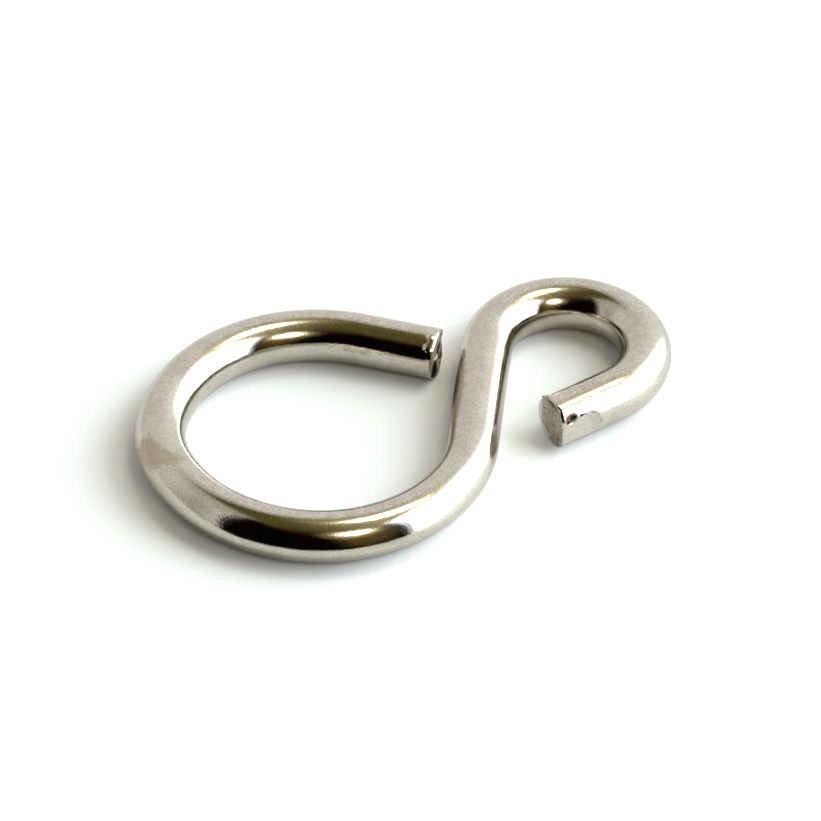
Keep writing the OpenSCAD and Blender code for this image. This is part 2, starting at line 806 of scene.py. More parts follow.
@dataclass(frozen=True)
class Nick(Mark):
    """The small hollow beside the small loop's end, with dirt and painted shade in it.

    Its edges are given as shares of its size, where 1 is its outline.

    Attributes:
        from_end: Its distance from the cut end.
        rise: How far round the wire it is, in degrees.
        size: Its half length and half width.
        depth: How deep it is.
        wall: Where its wall starts to rise and where it meets the side.
        worn_edge: Where the worn plating starts to fade and where it ends.
        thin_dirt: How thick the thin dirt in it is.
        thin_edge: Where the thin dirt starts to fade and where it ends.
        painted_shade_spots: Where it is painted black as shade in the hollow.
        spot_edge: Where a painted black spot starts to fade and where it ends.
    """

    from_end: float = 0.42
    rise: float = 35.0
    size: tuple[float, float] = (0.44, 0.31)
    depth: float = 0.13
    wall: tuple[float, float] = (0.5, 1.0)
    worn_edge: tuple[float, float] = (0.8, 1.2)
    thin_dirt: float = 0.5
    thin_edge: tuple[float, float] = (0.75, 1.05)
    painted_shade_spots: tuple[Spot, ...] = (Spot(0.18, 0.02, 0.58), Spot(-0.20, -0.17, 0.40))
    spot_edge: tuple[float, float] = (0.6, 1.0)

    def reach(self, skin: WireSkin, spot: Spot = Spot()) -> Array:
        """Measures how far each point is from a place in the nick.

        Args:
            skin: The wire's skin.
            spot: The place.

        Returns:
            The distance, 1 at the place's outline.
        """
        along = skin.from_small_end() - self.from_end - spot.on
        round_it = skin.line.wire_r * wrapped(skin.angle - math.radians(self.rise)) - spot.up
        half_length, half_width = self.size
        return np.hypot(along / (half_length * spot.scale), round_it / (half_width * spot.scale))

    def height(self, skin: WireSkin) -> Array:
        """Returns how far the side stands out at each point, less than 0 where it is dented."""
        return -self.depth * (1 - soft_step(self.reach(skin), *self.wall))

    def worn_and_painted_shade(self, skin: WireSkin) -> Array:
        """Returns how much the plating has worn brown at each point."""
        return 1 - soft_step(self.reach(skin), *self.worn_edge)

    def dirt_and_painted_shade(self, skin: WireSkin) -> Array:
        """Fills the nick with thin dirt and black spots of painted shade.

        Args:
            skin: The wire's skin.

        Returns:
            How much dark dirt and painted shade there is at each point.
        """
        thin = self.thin_dirt * (1 - soft_step(self.reach(skin), *self.thin_edge))
        # Black spots of painted shade in the hollow
        painted_black_shade = [1 - soft_step(self.reach(skin, spot), *self.spot_edge) for spot in self.painted_shade_spots]
        return np.maximum.reduce([thin, *painted_black_shade])


@dataclass(frozen=True)
class OuterRidge(Mark):
    """The blunt ridge that the bending roller left along the outside of the loop.

    Attributes:
        start: Where it starts, as a distance along the wire.
        end: Where it ends.
        rise: How far round the wire its crest is, in degrees.
        half_width: Half its width, in degrees.
        crest: How far its crest stands out.
        run_out: Length over which it fades at its two ends.
    """

    start: float = 25.0
    end: float = 47.0
    rise: float = 181.0
    half_width: float = 18.0
    crest: float = 0.115
    run_out: float = 7.0

    def height(self, skin: WireSkin) -> Array:
        """Raises the ridge.

        Args:
            skin: The wire's skin.

        Returns:
            How far the side stands out at each point.
        """
        off_crest = wrapped(skin.angle - math.radians(self.rise)) / math.radians(self.half_width)
        fade_in = soft_step(skin.along, self.start, self.start + self.run_out)
        fade_out = 1 - soft_step(skin.along, self.end - self.run_out, self.end)
        return self.crest * np.exp(-(off_crest**2)) * fade_in * fade_out


@dataclass(frozen=True)
class StainAndPaintedShade(Mark):
    """A brown patch, darker at its edge: worn plating, and painted shade where it stands for a dark
    reflection.

    Attributes:
        along: Where its middle is, as a distance along the wire.
        rise: How far round the wire its middle is, in degrees.
        size: Its half length and half width.
        turn: How far it is turned, in degrees.
        strength: How brown it is.
        grime_and_painted_shade: How much dark dirt and painted shade it adds.
        flatness: How sharply it ends: 1 for a soft patch, more for a sharper edge.
    """

    along: float
    rise: float
    size: tuple[float, float]
    turn: float = 0.0
    strength: float = 1.0
    grime_and_painted_shade: float = 0.0
    flatness: float = 1.3

    def patch(self, skin: WireSkin) -> Array:
        """Returns how far inside the patch each point is, from 0 to 1."""
        round_it = skin.line.wire_r * wrapped(skin.angle - math.radians(self.rise))
        return Hill((0.0, 0.0), self.size, 1.0, self.turn, self.flatness)(skin.along - self.along, round_it)

    def worn_and_painted_shade(self, skin: WireSkin) -> Array:
        """Returns how brown each point is, from worn plating and from painted shade."""
        return self.strength * self.patch(skin)

    def dirt_and_painted_shade(self, skin: WireSkin) -> Array:
        """Returns how much dark dirt and painted shade there is at each point."""
        return self.grime_and_painted_shade * self.patch(skin)


def wrapped(angle: Array) -> Array:
    """Returns each angle between minus and plus half a turn."""
    return (angle + math.pi) % (2 * math.pi) - math.pi


# ---------------------------------------------------------------- cut ends


# How much a rubbed rim counts as cut, which the finish knows it by and paints it bright as a painted
# reflection
RUBBED_PAINTED_BRIGHT = 0.5


@dataclass(frozen=True)
class RimPart:
    """A stretch of a cut end's rim that is more rounded than the rest.

    Attributes:
        middle: Its angle round the face from the outside of the loop, in degrees.
        half_width: How far it reaches to either side, in degrees.
        inset: How much further its rounding reaches into the face.
        drop: How much further its rounding reaches down the wire.
        raised: How far it stands out from the wire's side.
        burnish_painted_bright: How much it is painted bright, standing for the shine of the band that the
            cutter rubbed.
        fade: Shares of its half width between which it fades out.
    """

    middle: float
    half_width: float
    inset: float
    drop: float
    raised: float = 0.0
    burnish_painted_bright: float = 0.0
    fade: tuple[float, float] = (0.6, 1.2)

    def share(self, turned: Array) -> Array:
        """Returns how much of the part there is at each angle."""
        off = np.abs(wrapped(turned - math.radians(self.middle))) / math.radians(self.half_width)
        return 1 - soft_step(off, *self.fade)


@dataclass(frozen=True)
class EndRing:
    """One ring of points on a cut end.

    Attributes:
        out: Each point's distance from the wire's middle.
        below: How far each point is under the face.
        cut: How much each point counts as cut.
        on_face: Whether it is on the face, and not on the rim.
    """

    out: Array
    below: Array
    cut: Array
    on_face: bool


@dataclass(frozen=True)
class CutEnd:
    """One end of the wire, cut off and left as the cutter left it.

    On its face, across runs to the outside of the loop and up to the top.

    Attributes:
        wire_r: Radius of the wire.
        inside_slope: Slope of the inner half, which leaves it shorter, in degrees.
        outside_slope: Slope of the outer half, which leaves it shorter, in degrees.
        lean: Slope back towards the top, in degrees.
        lumps: What stands out of the face or is torn out of it.
        dirt_and_painted_shade: Where the face is painted darker, by painted shade in its hollows and by
            dirt.
        grain: The cut metal's waves.
        grain_height: How high they are.
        grain_fade: Shares of the radius between which they fade out towards the rim.
        rim_inset: How far the rim's rounding reaches into the face.
        rim_drop: How far it reaches down the wire.
        rim_flatness: How much the rim is a flat bevel instead of a round one, from 0 to 1.
        rim_parts: Where the rim is more rounded.
        rim_rings: Number of steps over the rim.
        face_rings: Number of rings from the rim's inner edge to the middle of the face.
        blend_len: Wire over which the tube follows the rim's slope.
        burr_len: Wire over which the raised rim runs out.
    """

    wire_r: float = WIRE_R
    inside_slope: float = 0.0
    outside_slope: float = 0.0
    lean: float = 0.0
    lumps: tuple[Hill, ...] = ()
    dirt_and_painted_shade: tuple[Hill, ...] = ()
    grain: Ripple = Ripple(seed=5, length=0.7, layers=5)
    grain_height: float = 0.012
    grain_fade: tuple[float, float] = (0.85, 0.97)
    rim_inset: float = 0.05
    rim_drop: float = 0.05
    rim_flatness: float = 0.7
    rim_parts: tuple[RimPart, ...] = ()
    rim_rings: int = 8
    face_rings: int = 34
    blend_len: float = 1.1
    burr_len: float = 0.45

    def bevel(self) -> list[tuple[float, float]]:
        """Works out the rim's outline, between the wire's side and the face.

        Returns:
            Each ring's share of the rim's inset and of its drop.
        """
        outline = []
        for ring in range(1, self.rim_rings):
            share = ring / self.rim_rings
            turn = share * math.pi / 2
            into = (1 - math.cos(turn)) * (1 - self.rim_flatness) + share * self.rim_flatness
            below = (1 - math.sin(turn)) * (1 - self.rim_flatness) + (1 - share) * self.rim_flatness
            outline.append((into, below))
        return outline

    def face(self, across: Array, up: Array) -> Array:
        """Shapes the face.

        Args:
            across: Each point's place across the face.
            up: Each point's place up the face.

        Returns:
            How far the face stands out along the wire at each point.
        """
        height = math.tan(math.radians(self.inside_slope)) * np.minimum(across, 0)
        height = height - math.tan(math.radians(self.outside_slope)) * np.maximum(across, 0)
        height -= math.tan(math.radians(self.lean)) * up
        for lump in self.lumps:
            height += lump(across, up)
        out = np.hypot(across, up) / self.wire_r
        grain = self.grain(across, up) * (1 - soft_step(out, *self.grain_fade))
        return height + self.grain_height * grain

    def dark_dirt_and_painted_shade(self, across: Array, up: Array) -> Array:
        """Returns how dark the face is at each point, from 0 to 1."""
        patches = (patch(across, up) for patch in self.dirt_and_painted_shade)
        return np.clip(sum(patches, np.zeros_like(across)), 0.0, 1.0)

    def rim(self, turned: Array, size: str) -> Array:
        """Adds up one size of the rim's parts.

        Args:
            turned: Angles round the face from the outside of the loop.
            size: The name of a part's field.

        Returns:
            The size at each angle.
        """
        parts = (getattr(part, size) * part.share(turned) for part in self.rim_parts)
        return sum(parts, np.zeros_like(turned))

    def drop(self, turned: Array) -> Array:
        """Returns how far the rim reaches down the wire at each angle."""
        return self.rim_drop + self.rim(turned, "drop")

    def rings(self, edge_out: Array, turned: Array) -> list[EndRing]:
        """Lays the end's rings, from the wire's side to the middle of the face.

        Args:
            edge_out: Distance of the tube's last points from the wire's middle.
            turned: Their angles round the face from the outside of the loop.

        Returns:
            The rings.
        """
        inset = self.rim_inset + self.rim(turned, "inset")
        drop = self.drop(turned)
        # The rubbed band is marked here so that the finish paints it bright
        rubbed_painted_bright = RUBBED_PAINTED_BRIGHT * self.rim(turned, "burnish_painted_bright")
        rim = [EndRing(edge_out - inset * into, drop * below, rubbed_painted_bright, False) for into, below in self.bevel()]
        level = np.zeros_like(turned)
        whole = np.ones_like(turned)
        shares = np.linspace(1, 0, self.face_rings + 1)[:-1]
        return rim + [EndRing((edge_out - inset) * share, level, whole, True) for share in shares]


# The large loop's end, where the cutter nipped the wire and it tore off
BROKEN_END = CutEnd(
    lumps=(
        # A dip in the outer edge, and two swellings at the bottom and the top
        Hill((1.38, -0.02), (0.50, 0.62), -0.17),
        Hill((-0.20, -1.30), (0.80, 0.40), 0.09),
        Hill((-0.35, 1.20), (0.95, 0.30), 0.09, 25),
        # Three hollows torn out of the face, and a thin ridge above the lower two
        Hill((0.18, -0.64), (0.60, 0.43), -0.30, -20, 1.5),
        Hill((-0.60, -0.80), (0.48, 0.46), -0.24, 0, 1.5),
        Hill((0.36, 0.15), (0.36, 0.29), -0.22, 0, 1.5),
        Hill((-0.38, 0.06), (0.66, 0.07), 0.12, -13),
    ),
    dirt_and_painted_shade=(
        # Painted shade: the three hollows painted black, where they lie in shade and mirror the dark front
        Hill((0.03, -0.60), (0.62, 0.48), 1.0, -28, 2.5),
        Hill((0.23, -0.48), (0.47, 0.35), 1.0, -30, 2.5),
        Hill((-0.62, -0.84), (0.62, 0.52), 1.0, 0, 2.5),
        Hill((0.41, 0.13), (0.46, 0.31), 1.0, 0, 2.5),
        # Thin dirt towards the outer edge
        Hill((0.95, -0.85), (0.35, 0.30), 0.45, 0, 2.0),
        Hill((0.75, 0.80), (0.40, 0.35), 0.38, 0, 2.0),
    ),
    grain=Ripple(seed=11, length=0.9),
    grain_height=0.03,
    rim_flatness=0.2,
    rim_parts=(
        # The top, two chips in it, and the lower inside
        RimPart(105, 50, 0.07, 0.15, 0.03),
        RimPart(101, 9, 0.0, 0.13, 0.03),
        RimPart(131, 9, 0.0, 0.13, 0.03),
        RimPart(205, 45, 0.06, 0.05),
    ),
)

# The small loop's end, sheared off nearly flat
SHEARED_END = CutEnd(
    inside_slope=-1.0,
    outside_slope=-9.0,
    lean=2.0,
    rim_parts=(
        # The rubbed band inside the loop, painted bright as a painted reflection, a bevel beside the nick,
        # and a burr near the top
        RimPart(204, 66, 0.40, 0.04, 0.0, 1.0),
        RimPart(45, 32, 0.10, 0.12),
        RimPart(127, 15, 0.02, -0.03, 0.12),
    ),
    dirt_and_painted_shade=(
        # Darker along the top and the bottom of the face
        Hill((0.05, 1.20), (0.95, 0.26), 0.42, 0, 2.0),
        Hill((0.55, -1.15), (0.75, 0.26), 0.36, 25, 2.0),
    ),
)


# ---------------------------------------------------------------- skin


class Side(Enum):
    """Which loop's end of the wire, as the way that it faces along the wire."""

    LARGE = -1
    SMALL = 1

    @property
    def edge(self) -> int:
        """Place of the end's ring among the skin's rings."""
        return -1 if self is Side.SMALL else 0

    def turned(self, angle: Array) -> Array:
        """Returns each angle round the wire as one round the face, from the outside of the loop."""
        return angle if self is Side.SMALL else math.pi - angle

    def join(self, skin: Array, end: Array) -> Array:
        """Returns the skin's rings with the end's joined on, which run from the wire's side inwards."""
        return np.concatenate([skin, end] if self is Side.SMALL else [end[::-1], skin])


@dataclass
class WireSkin:
    """The wire's closed skin: the swept tube, marked, with both ends capped.

    Attributes:
        line: The centreline.
        sides: Number of points round each ring.
        points: Place of every point, ring by ring, in millimetres.
        along: Each point's distance along the wire.
        angle: Each point's angle round the wire.
        out: Each point's distance from the wire's middle.
        cut: How much each point counts as cut: wholly on a face, partly on a rubbed rim that is painted
            bright.
        worn_and_painted_shade: How brown each point is, from worn plating and from painted shade.
        dirt_and_painted_shade: How much dark dirt and painted shade there is at each point.
        heading: The wire's direction at each point.
    """

    line: WireLine
    sides: int
    points: Array = field(init=False)
    along: Array = field(init=False)
    angle: Array = field(init=False)
    out: Array = field(init=False)
    cut: Array = field(init=False)
    worn_and_painted_shade: Array = field(init=False)
    dirt_and_painted_shade: Array = field(init=False)
    heading: Array = field(init=False)

    def take(self, tube: bpy.types.Mesh) -> None:
        """Reads the swept tube.

        Args:
            tube: The tube's mesh, ring after ring.
        """
        rings = len(tube.vertices) // self.sides
        points = np.empty(len(tube.vertices) * 3)
        tube.vertices.foreach_get("co", points)
        self.points = points.reshape(rings, self.sides, 3) / MM
        self.along = read_numbers(tube, "along", 1).reshape(rings, self.sides) / MM
        self.heading = read_numbers(tube, "heading", 3).reshape(rings, self.sides, 3)
        spoke = self.points - self.points.mean(axis=1, keepdims=True)
        self.angle = np.arctan2(spoke[..., 2], np.sum(spoke * self.left(), axis=-1))
        self.out = np.linalg.norm(spoke, axis=-1)
        self.cut = np.zeros((rings, self.sides))

    def left(self) -> Array:
        """Returns the direction to the left of the wire at each point."""
        return np.cross((0.0, 0.0, 1.0), self.heading)

    def outward(self) -> Array:
        """Returns each point's direction away from the wire's middle."""
        upright = np.array((0.0, 0.0, 1.0))
        return np.cos(self.angle)[..., None] * self.left() + np.sin(self.angle)[..., None] * upright

    def from_small_end(self) -> Array:
        """Returns each point's distance from the small loop's end."""
        return self.line.length - self.along

    def from_end(self, side: Side) -> Array:
        """Returns each point's distance from one end."""
        return self.from_small_end() if side is Side.SMALL else self.along

    def sway(self, sways: tuple[Sway, ...]) -> None:
        """Carries the wire off its loops where the bending was uneven."""
        for sway in sways:
            self.points = self.points + sway.offset(self.along)

    def press(self, marks: tuple[Mark, ...]) -> None:
        """Presses the marks into the wire's side, stains it and lays its painted shade.

        Args:
            marks: The marks.
        """
        height = sum(mark.height(self) for mark in marks)
        self.worn_and_painted_shade = np.clip(sum(mark.worn_and_painted_shade(self) for mark in marks), 0.0, 1.0)
        self.dirt_and_painted_shade = np.clip(sum(mark.dirt_and_painted_shade(self) for mark in marks), 0.0, 1.0)
        self.points = self.points + height[..., None] * self.outward()
        self.out = self.out + height

    def close(self, side: Side, end: CutEnd) -> None:
        """Raises the rim's burr, slopes the tube to meet a cut end's rim and adds the end.

        Args:
            side: Which end of the wire it is.
            end: The cut end.
        """
        edge = side.edge
        angle = self.angle[edge]
        turned = side.turned(angle)
        burr = (1 - soft_step(self.from_end(side), 0.0, end.burr_len)) * end.rim(turned, "raised")
        self.points = self.points + burr[..., None] * self.outward()
        self.out = self.out + burr

        edge_out = self.out[edge]
        middle = self.points[edge] - edge_out[:, None] * self.outward()[edge]
        across = side.value * edge_out * np.cos(angle)
        up = edge_out * np.sin(angle)
        rim_height = end.face(across, up) - end.drop(turned)
        follow = 1 - soft_step(self.from_end(side), 0.0, end.blend_len)
        self.points = self.points + (side.value * follow * rim_height)[..., None] * self.heading
        added = [self.end_ring(side, end, ring, middle) for ring in end.rings(edge_out, turned)]
        for name in added[0]:
            values = np.array([ring[name] for ring in added])
            setattr(self, name, side.join(getattr(self, name), values))

    def end_ring(self, side: Side, end: CutEnd, ring: EndRing, middle: Array) -> dict[str, Array]:
        """Places one ring of a cut end.

        Args:
            side: Which end of the wire it is.
            end: The cut end.
            ring: The ring.
            middle: The wire's middle at the end, for each point.

        Returns:
            The ring's values, by the names of the skin's fields.
        """
        angle = self.angle[side.edge]
        left = self.left()[side.edge]
        heading = self.heading[side.edge]
        level = ring.out * np.cos(angle)
        up = ring.out * np.sin(angle)
        across = side.value * level
        height = end.face(across, up) - ring.below
        place = middle + level[:, None] * left + (side.value * height)[:, None] * heading
        place[:, 2] += up
        return {
            "points": place,
            "along": self.along[side.edge] + side.value * height,
            "angle": angle,
            "out": ring.out,
            "cut": ring.cut,
            "worn_and_painted_shade": self.worn_and_painted_shade[side.edge] * (1 - ring.cut),
            "dirt_and_painted_shade": end.dark_dirt_and_painted_shade(across, up) * ring.on_face,
            "heading": heading,
        }

    def mesh(self, name: str, material: bpy.types.Material) -> bpy.types.Mesh:
        """Makes the closed mesh, with the attributes that its finish reads.

        Args:
            name: Name of the mesh.
            material: Its finish.

        Returns:
            The mesh in metres, at its place in the object.
        """
        poles = [self.points[0].mean(axis=0), self.points[-1].mean(axis=0)]
        points = np.concatenate([self.points.reshape(-1, 3), poles]) * MM
        faces = self.faces()
        mesh = bpy.data.meshes.new(name)
        mesh.from_pydata(points.tolist(), [], faces)
        mesh.materials.append(material)
        mesh.polygons.foreach_set("use_smooth", np.ones(len(faces), bool))
        self.keep_wire_place(mesh)
        for layer in ("cut", "worn_and_painted_shade", "dirt_and_painted_shade"):
            values = getattr(self, layer)
            ends = [values[0].mean(), values[-1].mean()]
            every = np.concatenate([values.ravel(), ends])
            mesh.attributes.new(layer, "FLOAT", "POINT").data.foreach_set("value", every)
        mesh.update()
        return mesh

    def faces(self) -> list[list[int]]:
        """Joins each ring to the next, and the first and last to a point in their middle.

        Returns:
            The faces, as the numbers of their points. The two middles come after all the rings.
        """
        count = len(self.points) * self.sides
        row, column = np.divmod(np.arange(count - self.sides), self.sides)
        after = (column + 1) % self.sides
        quads = np.stack(
            [
                row * self.sides + column,
                (row + 1) * self.sides + column,
                (row + 1) * self.sides + after,
                row * self.sides + after,
            ],
            axis=1,
        )
        column = np.arange(self.sides)
        after = (column + 1) % self.sides
        last = count - self.sides
        first_fan = np.stack([np.full(self.sides, count), column, after], axis=1)
        last_fan = np.stack([np.full(self.sides, count + 1), last + after, last + column], axis=1)
        return quads.tolist() + first_fan.tolist() + last_fan.tolist()

    def keep_wire_place(self, mesh: bpy.types.Mesh) -> None:
        """Stores where each point is on the straight wire, for patterns that follow it.

        Args:
            mesh: The mesh to store it on.
        """
        place = np.stack([self.out * np.cos(self.angle), self.out * np.sin(self.angle), self.along], axis=-1)
        ends = [place[0].mean(axis=0), place[-1].mean(axis=0)]
        every = np.concatenate([place.reshape(-1, 3), ends])
        mesh.attributes.new("wire", "FLOAT_VECTOR", "POINT").data.foreach_set("vector", every.ravel())


def read_numbers(mesh: bpy.types.Mesh, name: str, width: int) -> Array:
    """Reads a stored attribute.

    Args:
        mesh: The mesh that has it.
        name: The attribute's name.
        width: Numbers for each point: 1 for a value, 3 for a vector.

    Returns:
        The numbers, point after point.
    """
    values = np.empty(len(mesh.vertices) * width)
    mesh.attributes[name].data.foreach_get("value" if width == 1 else "vector", values)
    return values


# ---------------------------------------------------------------- finishes


@dataclass(frozen=True)
class PlatePattern:
    """What varies over the plating, each from 0 to 1.

    Attributes:
        grain: The metal's grain, round 0.5.
        fine_grain: Its finest grain, round 0.5.
        fine_clouds: Small cloudy patches, round 0.5.
        drawn: Lines left by drawing the wire, round 0.5.
        on_face: How much the place is on a cut face.
        burnish_painted_bright: How much it is painted bright, standing for the shine of the band that the
            cutter rubbed.
        dull: How much the plating has dulled.
        brown_and_painted_shade: How much it has worn brown, and is painted brown as shade.
        dirty_and_painted_shade: How much dirt and painted shade cover it.
        dark_dirt_and_painted_shade: How much of that is thick and black, as in the hollows painted black for
            shade.
    """

    grain: Signal
    fine_grain: Signal
    fine_clouds: Signal
    drawn: Signal
    on_face: Signal
    burnish_painted_bright: Signal
    dull: Signal
    brown_and_painted_shade: Signal
    dirty_and_painted_shade: Signal
    dark_dirt_and_painted_shade: Signal


@dataclass(frozen=True)
class NickelPlate:
    """Bright nickel plating on drawn wire, with bare steel on its cut ends.

    Finenesses are in waves to the millimetre.

    Attributes:
        bright: The plating's colour.
        warm: Its colour where it has dulled a little.
        bare: The cut steel's colour.
        dark_bare: The cut steel's colour where it is stained.
        rubbed_painted_bright: A near white painted on the band that the cutter rubbed, as a painted
            reflection of its shine.
        speck: The plating's colour in its fine pits.
        brown_and_painted_shade: The colour of worn plating, and of the painted dark reflection on the
            shank's side.
        dark_brown: Its colour at the edge of a worn patch.
        brown_dirt_and_painted_shade: The colour of thin dirt, and of the painted dark reflection on the
            shank's side.
        black_dirt_and_painted_shade: The colour of thick dirt, and the black painted in the hollows as
            shade.
        roughness: The plating's roughness.
        cut_roughness: The cut steel's roughness.
        sheen: How much worn or dirty places shine.
        grain_fineness: Fineness of the grain.
        fine_grain_fineness: Fineness of the finest grain.
        cloud_fineness: Fineness of the dull clouds.
        fine_cloud_fineness: Fineness of the small clouds.
        drawn_fineness: Fineness of the drawn lines across the wire.
        drawn_squeeze: Their fineness along the wire beside that across it.
        relief_depth: Depth of the grain, in millimetres.
    """

    bright: Colour = (0.80, 0.75, 0.66)
    warm: Colour = (0.715, 0.655, 0.56)
    bare: Colour = (0.74, 0.68, 0.58)
    dark_bare: Colour = (0.32, 0.25, 0.18)
    rubbed_painted_bright: Colour = (0.95, 0.95, 0.95)
    speck: Colour = (0.42, 0.37, 0.29)
    brown_and_painted_shade: Colour = (0.50, 0.40, 0.29)
    dark_brown: Colour = (0.30, 0.21, 0.13)
    brown_dirt_and_painted_shade: Colour = (0.17, 0.105, 0.075)
    black_dirt_and_painted_shade: Colour = (0.008, 0.005, 0.004)
    roughness: float = 0.045
    cut_roughness: float = 0.5
    sheen: float = 0.15
    grain_fineness: float = 9.0
    fine_grain_fineness: float = 15.0
    cloud_fineness: float = 0.55
    fine_cloud_fineness: float = 2.2
    drawn_fineness: float = 6.0
    drawn_squeeze: float = 0.10
    relief_depth: float = 0.0055

    def build(self, name: str) -> bpy.types.Material:
        """Makes the material.

        Args:
            name: Its name.

        Returns:
            The material.
        """
        material = bpy.data.materials.new(name)
        material.use_nodes = True
        material.node_tree.nodes.clear()
        bench = Bench(material.node_tree)
        pattern = self.pattern(bench)
        surface = bench.signal(
            "ShaderNodeBsdfPrincipled",
            inputs={
                "Base Color": self.colour(bench, pattern),
                "Metallic": self.metal(pattern),
                "Roughness": self.rough(pattern),
                "Specular IOR Level": self.sheen,
                "Normal": self.relief(bench, pattern),
            },
        )
        bench.output("ShaderNodeOutputMaterial", "Surface", surface)
        return material

    def pattern(self, bench: Bench) -> PlatePattern:
        """Works out what varies over the plating from the mesh's attributes and from noise.

        Args:
            bench: The bench of the material's tree.

        Returns:
            The patterns.
        """
        wire = bench.signal("ShaderNodeAttribute", {"attribute_name": "wire"}, output="Vector")
        cut, worn_and_painted_shade, dirt_and_painted_shade = (
            bench.signal("ShaderNodeAttribute", {"attribute_name": name}, output="Fac")
            for name in ("cut", "worn_and_painted_shade", "dirt_and_painted_shade")
        )
        squeezed = bench.vector_math("MULTIPLY", wire, (1.0, 1.0, self.drawn_squeeze))
        grain = bench.noise(wire, self.grain_fineness, 2.0, 0.7)
        clouds = bench.noise(wire, self.cloud_fineness, 4.0, 0.55)
        fine_clouds = bench.noise(wire, self.fine_cloud_fineness, 3.0, 0.6)
        on_face = bench.smooth(cut, 0.65, 0.95)
        uneven_wear_and_shade = worn_and_painted_shade + (fine_clouds - 0.5) * 0.7 + (grain - 0.5) * 0.5
        uneven_dirt_and_shade = dirt_and_painted_shade + (grain - 0.5) * 0.45
        return PlatePattern(
            grain=grain,
            fine_grain=bench.noise(wire, self.fine_grain_fineness, 1.0, 0.6),
            fine_clouds=fine_clouds,
            drawn=bench.noise(squeezed, self.drawn_fineness, 3.0, 0.6),
            on_face=on_face,
            burnish_painted_bright=bench.smooth(cut, 0.15, 0.45) - on_face,
            dull=bench.smooth(clouds * 0.7 + fine_clouds * 0.3, 0.42, 0.62),
            brown_and_painted_shade=bench.smooth(uneven_wear_and_shade, 0.20, 0.85),
            dirty_and_painted_shade=bench.smooth(uneven_dirt_and_shade, 0.30, 0.46),
            dark_dirt_and_painted_shade=bench.smooth(uneven_dirt_and_shade, 0.52, 0.80),
        )

    def colour(self, bench: Bench, pattern: PlatePattern) -> Signal:
        """Colours the plating, the steel, the dirt, the painted shade and the band painted bright.

        Args:
            bench: The bench of the material's tree.
            pattern: What varies over the plating.

        Returns:
            The colour.
        """
        brown_edge = pattern.brown_and_painted_shade * (1.0 - pattern.brown_and_painted_shade) * 3.0
        fine_pits = bench.smooth(pattern.fine_grain, 0.38, 0.62)
        pits = bench.smooth(pattern.grain, 0.52, 0.70)
        stained = bench.smooth(pattern.fine_clouds * 0.5 + pattern.fine_grain, 0.64, 0.88)

        plated = bench.mix(self.bright, self.warm, pattern.dull)
        plated = bench.mix(plated, self.speck, fine_pits * 0.5 + pits * 0.25)
        # Brown wear, and brown painted over the shank's side as a dark reflection
        plated = bench.mix(plated, self.brown_and_painted_shade, pattern.brown_and_painted_shade * 0.65)
        plated = bench.mix(plated, self.dark_brown, brown_edge * 0.35)
        steel = bench.mix(self.bare, self.dark_bare, stained)
        metal = bench.mix(plated, steel, pattern.on_face)
        # Painted highlight: the rubbed band inside the small loop is painted near white
        metal = bench.mix(metal, self.rubbed_painted_bright, pattern.burnish_painted_bright)
        # Dark dirt, and black painted shade in the hollows and on the shank's side
        dirt_and_painted_shade = bench.mix(self.brown_dirt_and_painted_shade, self.black_dirt_and_painted_shade, pattern.dark_dirt_and_painted_shade)
        return bench.mix(metal, dirt_and_painted_shade, pattern.dirty_and_painted_shade)

    def metal(self, pattern: PlatePattern) -> Signal:
        """Works out how metallic the surface is.

        Args:
            pattern: What varies over the plating.

        Returns:
            Its metallic value, less where it is brown, painted bright, dirty or painted shade.
        """
        brown_plating_and_shade = pattern.brown_and_painted_shade * (1.0 - pattern.on_face)
        clean = 1.0 - pattern.dirty_and_painted_shade
        # The band painted bright is mostly not metal, so that it shows white
        return (1.0 - brown_plating_and_shade * 0.3) * clean * (1.0 - pattern.burnish_painted_bright * 0.8)

    def rough(self, pattern: PlatePattern) -> Signal:
        """Works out how rough the surface is.

        Args:
            pattern: What varies over the plating.

        Returns:
            Its roughness.
        """
        plated = self.roughness + 0.05 * pattern.grain + 0.04 * pattern.dull + 0.15 * pattern.brown_and_painted_shade
        return plated + pattern.on_face * (self.cut_roughness - self.roughness) + pattern.dirty_and_painted_shade * 0.4

    def relief(self, bench: Bench, pattern: PlatePattern) -> Signal:
        """Raises the grain, more on the cut faces and on worn plating.

        Args:
            bench: The bench of the material's tree.
            pattern: What varies over the plating.

        Returns:
            The surface's direction.
        """
        height = (pattern.grain + pattern.drawn * 0.1) * (1.0 + pattern.on_face * 5.0 + pattern.brown_and_painted_shade * 2.0)
        inputs = {"Strength": 1.0, "Distance": self.relief_depth * MM, "Height": height}
        return bench.signal("ShaderNodeBump", inputs=inputs)


# ---------------------------------------------------------------- object


